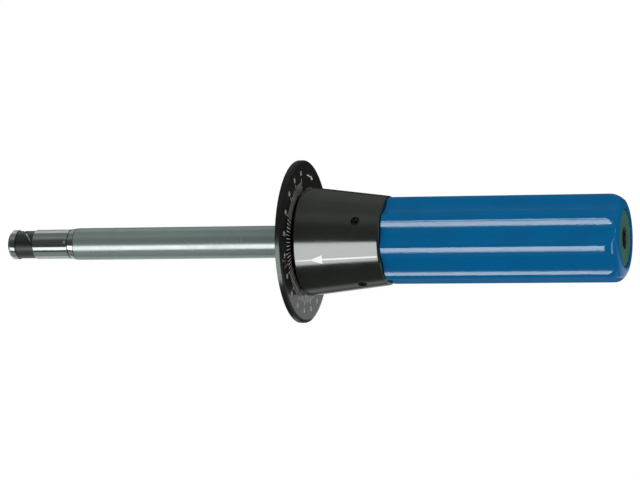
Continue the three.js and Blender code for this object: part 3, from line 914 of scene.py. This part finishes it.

# %% [markdown]
# Hands leave soft patches where a finish is a little duller. A Bevel node gives the normal that
# a slightly rounder edge would have. Where it differs from the true normal there is an edge,
# and noise breaks that line up so that it is never even. The line is rubbed wear on most
# finishes and a painted highlight on the grip.

# %% Handling patches, and edge lines of wear and painted highlight
handling_group, into, out = new_group(
    "handling_patches", [VECTOR, ("Per metre", "NodeSocketFloat", PATCHES)], ["Mask"]
)
noise = add_node(
    handling_group,
    "TexNoise",
    {
        "Vector": into.outputs[0],
        "Scale": into.outputs[1],
        "Detail": 4.0,
        "Roughness": 0.55,
        "Distortion": 0.4,
    },
)
shaped = add_node(handling_group, "MapRange", {0: noise.outputs["Fac"], 1: 0.35, 2: 0.68})
handling_group.links.new(shaped.outputs[0], out.inputs[0])

wear_and_highlight_group, into, out = new_group(
    "worn_and_highlit_edges", [VECTOR, ("Amount", "NodeSocketFloat", 0.5)], ["Mask"]
)
shape = wear_and_highlight_group.nodes.new("ShaderNodeNewGeometry")
softer = add_node(wear_and_highlight_group, "Bevel", {"Radius": 0.22 * MM}, samples=6)
match = add_node(
    wear_and_highlight_group,
    "VectorMath",
    {0: softer.outputs[0], 1: shape.outputs["Normal"]},
    operation="DOT_PRODUCT",
)
# The dot product is 1 where both normals agree, and falls below it along an edge.
edges = add_node(wear_and_highlight_group, "MapRange", {0: match.outputs["Value"], 1: 0.995, 2: 0.9})
noise = add_node(
    wear_and_highlight_group, "TexNoise", {"Vector": into.outputs[0], "Scale": 700.0, "Detail": 5.0}
)
broken = add_node(wear_and_highlight_group, "MapRange", {0: noise.outputs["Fac"], 1: 0.38, 2: 0.62})
both = maths(wear_and_highlight_group, "MULTIPLY", edges.outputs[0], broken.outputs[0])
scaled = maths(wear_and_highlight_group, "MULTIPLY", both, into.outputs[1])
wear_and_highlight_group.links.new(scaled, out.inputs[0])
print("groups:", ", ".join(tree.name for tree in bpy.data.node_groups))

# %% [markdown]
# ## Finishes
#
# Each finish is one Principled shader with the four groups in front of it. Two close tones are
# mixed by the handling patches, the roughness moves between two values, and grain and turning
# marks share one Bump node. Values that are the same all over sit on the shader itself.


# %% Finish builder
MICROMETRE = 1e-6


def use_group(tree, group, coordinates, value):
    """Places a group in a material, with its own value, and gives the group's output."""
    node = tree.nodes.new("ShaderNodeGroup")
    node.node_tree = group
    tree.links.new(coordinates, node.inputs[0])
    node.inputs[1].default_value = value
    return node.outputs[0]


def finish(name, tones, gloss, metal, marks=0.0, grain=0.0, edge_wear_and_highlight=0.0, bare_and_highlight_tone=None, **fixed):
    """A finish from two tones and a (low, high) roughness. Marks and grain are in micrometres."""
    material = bpy.data.materials.new(name)
    material.use_nodes = True
    tree = material.node_tree
    shader = tree.nodes["Principled BSDF"]
    place = tree.nodes.new("ShaderNodeTexCoord").outputs["Object"]
    patches = use_group(tree, handling_group, place, PATCHES)
    rings = use_group(tree, marks_group, place, RINGS)
    specks = use_group(tree, grain_group, place, GRAINS)
    edge_wear_and_highlight_mask = use_group(tree, wear_and_highlight_group, place, edge_wear_and_highlight)
    tone = mix_colours(tree, patches, (*tones[0], 1), (*tones[1], 1))
    # Along edges the tone turns to the edge tone: bare metal where it is wear, and on the grip a
    # lighter blue that is a painted highlight.
    worn_and_highlit_tone = mix_colours(tree, edge_wear_and_highlight_mask, tone, (*(bare_and_highlight_tone or tones[1]), 1))
    tree.links.new(worn_and_highlit_tone, shader.inputs["Base Color"])
    unevenness = maths(tree, "MULTIPLY_ADD", rings, 0.4, maths(tree, "MULTIPLY", patches, 0.6))
    rough = add_node(tree, "MapRange", {0: unevenness, 3: gloss[0], 4: gloss[1]})
    tree.links.new(rough.outputs[0], shader.inputs["Roughness"])
    height = maths(tree, "MULTIPLY_ADD", specks, grain, maths(tree, "MULTIPLY", rings, marks))
    bump = add_node(tree, "Bump", {"Height": height, "Strength": 1.0, "Distance": MICROMETRE})
    tree.links.new(bump.outputs[0], shader.inputs["Normal"])
    shader.inputs["Metallic"].default_value = metal
    for socket, value in fixed.items():
        shader.inputs[socket.replace("_", " ")].default_value = value
    return material


# %% [markdown]
# The steels differ mostly in how much they scatter: polished chrome barely, the ground shank
# broadly, the blackened clip more still. Chrome and shank both have a faint green cast.

# %% Steels
polished = finish(
    "polished_chrome", [(0.74, 0.80, 0.78), (0.68, 0.74, 0.72)], (0.08, 0.15), 1.0, marks=0.6
)
satin = finish(
    "satin_steel", [(0.36, 0.45, 0.43), (0.32, 0.41, 0.39)], (0.2, 0.3), 0.72, marks=1.6, grain=0.5
)
dark_spring = finish(
    "blackened_spring",
    [(0.16, 0.18, 0.172), (0.12, 0.135, 0.13)],
    (0.28, 0.42),
    1.0,
    marks=1.2,
    grain=1.0,
    edge_wear_and_highlight=0.5,
    bare_and_highlight_tone=(0.4, 0.43, 0.42),
)
black_oxide = finish(
    "black_oxide",
    [(0.02, 0.021, 0.021), (0.03, 0.031, 0.03)],
    (0.3, 0.45),
    0.6,
    grain=1.5,
    edge_wear_and_highlight=0.4,
    bare_and_highlight_tone=(0.25, 0.26, 0.26),
)

# %% [markdown]
# The dial and the cone are black but not alike. The cone's dense skin mirrors a lamp as one
# broad, even band, so it gets a high IOR and a low roughness. The dial gives back much less.

# %% Blacks
dial_black = finish(
    "dial_black",
    [(0.008, 0.009, 0.008), (0.011, 0.012, 0.010)],
    (0.16, 0.24),
    0.0,
    marks=0.3,
    grain=0.3,
    edge_wear_and_highlight=0.2,
    bare_and_highlight_tone=(0.08, 0.085, 0.08),
    Specular_IOR_Level=0.35,
)
cone_black = finish(
    "cone_black",
    [(0.0112, 0.0132, 0.0098), (0.0138, 0.0162, 0.0122)],
    (0.12, 0.19),
    0.0,
    marks=0.8,
    grain=0.7,
    edge_wear_and_highlight=0.25,
    bare_and_highlight_tone=(0.1, 0.105, 0.1),
    IOR=2.1,
)

# %% [markdown]
# The anodised grip keeps the colour of its dye under a clear skin, and the plug is a dull
# bluish green. The inside of the plug's socket is painted near black: painted shade in the recess.

# %% Dyes
# The grip's lighter edge tone is a painted highlight along its edges, where flutes meet lands and
# run out.
blue_dye = finish(
    "blue_anodised",
    [(0.0004, 0.104, 0.262), (0.0003, 0.094, 0.240)],
    (0.10, 0.17),
    0.0,
    marks=0.3,
    grain=0.5,
    edge_wear_and_highlight=0.5,
    bare_and_highlight_tone=(0.01, 0.21, 0.42),
    Specular_IOR_Level=0.15,
)
green_dye = finish(
    "green_anodised",
    [(0.048, 0.155, 0.113), (0.04, 0.115, 0.085)],
    (0.22, 0.32),
    0.0,
    marks=1.5,
    grain=1.0,
    edge_wear_and_highlight=0.2,
    bare_and_highlight_tone=(0.2, 0.32, 0.22),
    Specular_IOR_Level=0.45,
)
# Painted shade: a near-black finish that stands for the shade inside the plug's socket.
painted_socket_shade = finish(
    "painted_socket_shade", [(0.006, 0.007, 0.005), (0.012, 0.014, 0.01)], (0.5, 0.7), 0.0, grain=2.0
)

# %% [markdown]
# The hidden pieces have plainer finishes, but still their own: sintered bronze with its open
# grain, and matt rubber. The printed inks are slightly rough.

# %% Other finishes
bronze = finish(
    "sintered_bronze", [(0.42, 0.26, 0.11), (0.34, 0.2, 0.08)], (0.4, 0.6), 0.9, grain=6.0
)
rubber = finish("matt_rubber", [(0.02, 0.02, 0.02), (0.03, 0.03, 0.03)], (0.7, 0.9), 0.0, grain=5.0)
white_ink = finish(
    "white_ink", [(0.93, 0.94, 0.92), (0.84, 0.85, 0.83)], (0.4, 0.6), 0.0, grain=3.0
)
scale_ink = finish(
    "scale_ink", [(0.68, 0.68, 0.65), (0.54, 0.54, 0.52)], (0.4, 0.6), 0.0, grain=3.0
)
red_ink = finish("red_ink", [(0.3, 0.09, 0.09), (0.22, 0.07, 0.07)], (0.4, 0.6), 0.0, grain=3.0)
print("finishes:", len(bpy.data.materials))

# %% [markdown]
# ## Painting
#
# Every new piece now gets its finish, which takes the place of any slot that it still has.

# %% Paint the pieces
painted = {
    bit_holder: polished,
    clip: dark_spring,
    stop_pin: satin,
    shank: satin,
    dial: dial_black,
    cone: cone_black,
    grip: blue_dye,
    plug: green_dye,
    ticks: scale_ink,
    numbers: scale_ink,
    pointer: white_ink,
    zero_line: red_ink,
}
painted |= {arrow: scale_ink for arrow in arrows}
painted |= {screw: black_oxide for screw in screws}
for piece, material in painted.items():
    piece.data.materials.clear()
    piece.data.materials.append(material)

# %% [markdown]
# Two pieces have a second finish. The short chamfer at the front of the shank and the floor of
# the groove behind it are polished like the nose, and the inside of the plug's socket is
# painted near black as painted shade. Their faces are picked by place and given a second
# material slot.


# %% Second finishes
def paint_zones(piece, material, *zones):
    """Gives a second finish to the faces in (front, rear, radius) zones, in millimetres."""
    piece.data.materials.append(material)
    count = 0
    for face in piece.data.polygons:
        centre = face.center
        radius = math.hypot(centre.y, centre.z)
        for front, rear, reach in zones:
            if along(front) < centre.x < along(rear) and radius < reach * MM:
                face.material_index = 1
        count += face.material_index
    print(f"{piece.name}: {count} faces painted {material.name}")


chamfer = (SHOULDER_FRONT - 0.15, SHOULDER_REAR + 0.02, TUBE + 0.6)
groove_floor = (SHOULDER_REAR - 0.01, SHOULDER_REAR + LINE_WIDTH - 0.01, TUBE - 0.1)
paint_zones(shank, polished, chamfer, groove_floor)
# The inside of the plug's socket and its lead-in get the painted shade.
paint_zones(plug, painted_socket_shade, (PLUG_FACE - 7.5, PLUG_FACE - 0.1, 3.7))

# %% [markdown]
# The nodes of the frame that stay hidden inside keep their own shapes and only change their
# material.

# %% Repaint the hidden nodes
slot_finishes = {
    "bright_steel": polished,
    "satin_steel": satin,
    "spring_steel": dark_spring,
    "black_screw": black_oxide,
    "black_disc": dial_black,
    "bronze": bronze,
    "black_rubber": rubber,
}
for subpart in frame["record"]["subparts"]:
    node = frame["nodes"][subpart["node"]]
    material = slot_finishes.get(subpart["material_slot"])
    if material and not node.hide_render:
        for slot in node.material_slots:
            slot.material = material
        print("repainted", subpart["node"], "as", material.name)

# %% [markdown]
# ## The studio
#
# The tool was laid out in a bright, even studio. Diffuse light comes equally from everywhere.
# Polished metal shows what stands round it, so reflections see a world of soft grey bands
# along the tool. They are grey from the -Y side through below to the +Y side, and nearly dark
# overhead and just above the -Y side, where the softboxes stand out.


# %% Band helpers
WHITE = (1.0, 1.0, 1.0, 1)
CAST = Vector((0.96, 1.0, 0.985))


def grey_bands(tree, value, reach, bands, half_width):
    """
    A ramp of soft grey bands, from pairs of a place and a brightness.

    The places run from -half_width to half_width while the value runs from -reach to reach.
    """
    share = add_node(tree, "MapRange", {0: value, 1: -reach, 2: reach})
    ramp = add_node(tree, "ValToRGB", {0: share.outputs[0]})
    stops = ramp.color_ramp.elements
    for index, (place, brightness) in enumerate(bands):
        position = (place + half_width) / (2 * half_width)
        if index >= len(stops):
            stops.new(position)
        stops[index].position = position
        stops[index].color = (*(brightness * CAST), 1)
    return ramp.outputs[0]


def by_ray(tree, kind, others, these):
    """One colour for rays of this kind, such as Is Glossy Ray, and another for the others."""
    ray = tree.nodes.new("ShaderNodeLightPath")
    return mix_colours(tree, ray.outputs[kind], others, these)


# %% [markdown]
# The direction of a ray gives its angle about the tool's axis, and the angle picks its band.
# Only glossy rays see the bands. The camera and all other rays see plain white.

# %% World
world = bpy.data.worlds.new("studio")
bpy.context.scene.world = world
world.use_nodes = True
tree = world.node_tree
direction = tree.nodes.new("ShaderNodeTexCoord").outputs["Generated"]
parts = add_node(tree, "SeparateXYZ", {0: direction})
around = maths(tree, "ARCTAN2", parts.outputs["Z"], parts.outputs["Y"])
# Degrees about the tool's axis from +Y towards +Z, and how bright the studio is there.
STUDIO = [
    (-180, 0.02),
    (-170, 0.02),
    (-160, 0.16),
    (26, 0.155),
    (34, 0.17),
    (42, 0.22),
    (47, 0.20),
    (56, 0.15),
    (64, 0.065),
    (75, 0.05),
    (100, 0.045),
    (140, 0.03),
    (160, 0.02),
]
studio = grey_bands(tree, around, math.pi, STUDIO, 180)
lit = by_ray(tree, "Is Glossy Ray", WHITE, studio)
seen = by_ray(tree, "Is Camera Ray", lit, WHITE)
tree.links.new(seen, tree.nodes["Background"].inputs["Color"])
print("studio bands:", len(STUDIO))

# %% [markdown]
# The lamps are area lights. They are there for their reflections: the even light already
# models the forms, so they add no diffuse light of their own. In a studio, softboxes are
# masked and pale cards are laid beside a tool, so that each part gets highlights of its own
# width. Light linking does the same here: a lamp lights only the pieces in its collection.


# %% Lamp helpers
# The ends of every long lamp along X, its distance from the axis, and the height of the floor.
LEFT, RIGHT = -0.75, 0.1
LAMP_DISTANCE = 0.5
FLOOR_HEIGHT = cad_box[0].z - 0.1 * MM


def lamp(name, width, depth, radiance, place, pieces, colour=(0.95, 1.0, 0.99)):
    """A flat area light, seen only in the reflections of these pieces."""
    light = bpy.data.lights.new(name, "AREA")
    light.shape = "RECTANGLE"
    light.color = colour
    light.size, light.size_y = width, depth
    light.energy = radiance * math.pi * width * depth
    box = bpy.data.objects.new(name, light)
    bpy.context.scene.collection.objects.link(box)
    box.matrix_world = place
    box.visible_camera = False
    box.visible_diffuse = False
    lit_pieces = bpy.data.collections.new(name + "_pieces")
    for piece in pieces:
        lit_pieces.objects.link(piece)
    box.light_linking.receiver_collection = lit_pieces
    print(f"{name}: {len(pieces)} pieces, {light.energy:.1f} W")


def softbox(name, degrees, spread, radiance, pieces, **settings):
    """A long lamp above the tool, at an angle from +Y towards +Z, this many degrees wide."""
    turn = Matrix.Rotation(math.radians(degrees - 90), 4, "X")
    place = turn @ Matrix.Translation(((LEFT + RIGHT) / 2, 0, LAMP_DISTANCE))
    depth = 2 * LAMP_DISTANCE * math.tan(math.radians(spread / 2))
    lamp(name, RIGHT - LEFT, depth, radiance, place, pieces, **settings)


def card(name, near, far, radiance, pieces):
    """A long lamp that lies on the floor beside the tool, between two distances in mm."""
    middle = ((LEFT + RIGHT) / 2, (near + far) / 2 * MM, FLOOR_HEIGHT + 0.2 * MM)
    place = Matrix.Translation(middle) @ Matrix.Rotation(math.pi, 4, "X")
    lamp(name, RIGHT - LEFT, abs(far - near) * MM, radiance, place, pieces)


# %% [markdown]
# The nose is polished, so its lamps are dim and narrow. The satin shank needs more, and the
# black pieces much more. Two lamps are tinted, to keep the shank's highlight neutral and to
# give the dial's bevel a greenish one. The small lamp beyond the grip's end draws a thin line
# along the edges where its flutes run out.

# %% Lamps
nose = [bit_holder, clip, stop_pin]
blacks = [cone, pointer]
coloured = [grip, plug]
printed = [dial, ticks, numbers, zero_line, *arrows]
steels = [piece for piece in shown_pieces() if piece not in nose + blacks + coloured + printed]
softbox("softbox_nose", 133.5, 24, 1.25, nose)
softbox("softbox_steel", 129.9, 32, 3.0, steels, colour=(1.0, 0.89, 0.91))
softbox("softbox_dial", 129.7, 54, 8.4, printed, colour=(0.86, 1.0, 0.92))
softbox("softbox_black", 125.4, 47, 3.9, blacks)
softbox("softbox_grip", 120.8, 18, 28.0, coloured)
softbox("side_softbox", 172, 26, 0.2, nose + steels)
card("far_card_nose", 25, 600, 0.35, nose)
card("far_card_steel", 25, 600, 0.18, steels)
card("near_card_nose", -25, -600, 0.2, nose)
card("near_card_steel", -25, -600, 0.12, steels)
lean = Matrix.Rotation(math.radians(25), 4, "X") @ Matrix.Rotation(math.radians(60), 4, "Y")
out_along = Matrix.Translation((0, 0, LAMP_DISTANCE))
beyond = Matrix.Translation((cad_box[1].x, 0, 0)) @ lean @ out_along
lamp("end_lamp", 0.08, 0.7, 16.0, beyond, coloured)

# %% [markdown]
# The floor is a plain pale sheet just below the dial. It glows, as a brightly lit paper
# backdrop does. Polished metal sees strips painted into that glow along the tool: two painted
# light strips on the -Y side, and a painted shadow of the tool on the +Y side.

# %% Floor
bpy.ops.object.select_all(action="DESELECT")
bpy.ops.mesh.primitive_plane_add(size=6, location=(0, 0, FLOOR_HEIGHT))
floor = bpy.context.object
floor.name = "floor"
paper = bpy.data.materials.new("paper")
paper.use_nodes = True
tree = paper.node_tree
shader = tree.nodes["Principled BSDF"]
shader.inputs["Roughness"].default_value = 1.0
shader.inputs["Specular IOR Level"].default_value = 0.0
shader.inputs["Base Color"].default_value = (0.03, 0.03, 0.03, 1)
place = tree.nodes.new("ShaderNodeTexCoord").outputs["Object"]
across = add_node(tree, "SeparateXYZ", {0: place}).outputs["Y"]
# Millimetres to the side of the tool, and how bright the painted strips of light and shadow are in
# a reflection.
PAINTED_FLOOR_STRIPS = [
    (-100, 0.0),
    (-66, 0.01),
    (-57, 0.10),
    (-48, 0.40),
    (-37, 0.40),
    (-33, 0.10),
    (-26, 0.10),
    (-23, 0.65),
    (-9, 0.65),
    (-5, 0.0),
    (38, 0.0),
    (44, 0.10),
    (98, 0.15),
]
painted_light_and_shadow = grey_bands(tree, across, 100 * MM, PAINTED_FLOOR_STRIPS, 100)
glow = by_ray(tree, "Is Glossy Ray", (0.98, 0.98, 0.98, 1), painted_light_and_shadow)
tree.links.new(glow, shader.inputs["Emission Color"])
shader.inputs["Emission Strength"].default_value = 1.0
floor.data.materials.append(paper)
print("floor at", round(FLOOR_HEIGHT / MM, 2), "mm, strips:", len(PAINTED_FLOOR_STRIPS))

# %% [markdown]
# ## The camera
#
# The tool is seen from above and slightly from the grip's end, through a long lens. The
# camera's axes are built from the direction it stands in, and its roll is a small turn about
# that direction.

# %% Camera
SWING, OVERHEAD, ROLL = math.radians(17.8), math.radians(98.9), math.radians(0.65)
DISTANCE = 0.979
# The point it looks at, and how far up the picture the whole view is moved.
AIM, RAISE = Vector((0.00375, 0, 0)), 0.00046
towards = Vector(
    (
        math.sin(SWING),
        math.cos(SWING) * math.cos(OVERHEAD),
        math.cos(SWING) * math.sin(OVERHEAD),
    )
)
sideways = Vector(
    (
        math.cos(SWING),
        -math.sin(SWING) * math.cos(OVERHEAD),
        -math.sin(SWING) * math.sin(OVERHEAD),
    )
)
upright = towards.cross(sideways)
right = math.cos(ROLL) * sideways - math.sin(ROLL) * upright
up = math.sin(ROLL) * sideways + math.cos(ROLL) * upright
lens = bpy.data.cameras.new("camera")
lens.lens = 166.2
lens.sensor_width = 36
camera = bpy.data.objects.new("camera", lens)
bpy.context.scene.collection.objects.link(camera)
camera.matrix_world = Matrix((right, up, towards)).transposed().to_4x4()
camera.location = AIM + DISTANCE * towards + RAISE * up
bpy.context.scene.camera = camera
bpy.context.scene.view_settings.view_transform = "Standard"
print("camera at", [round(value, 3) for value in camera.location])
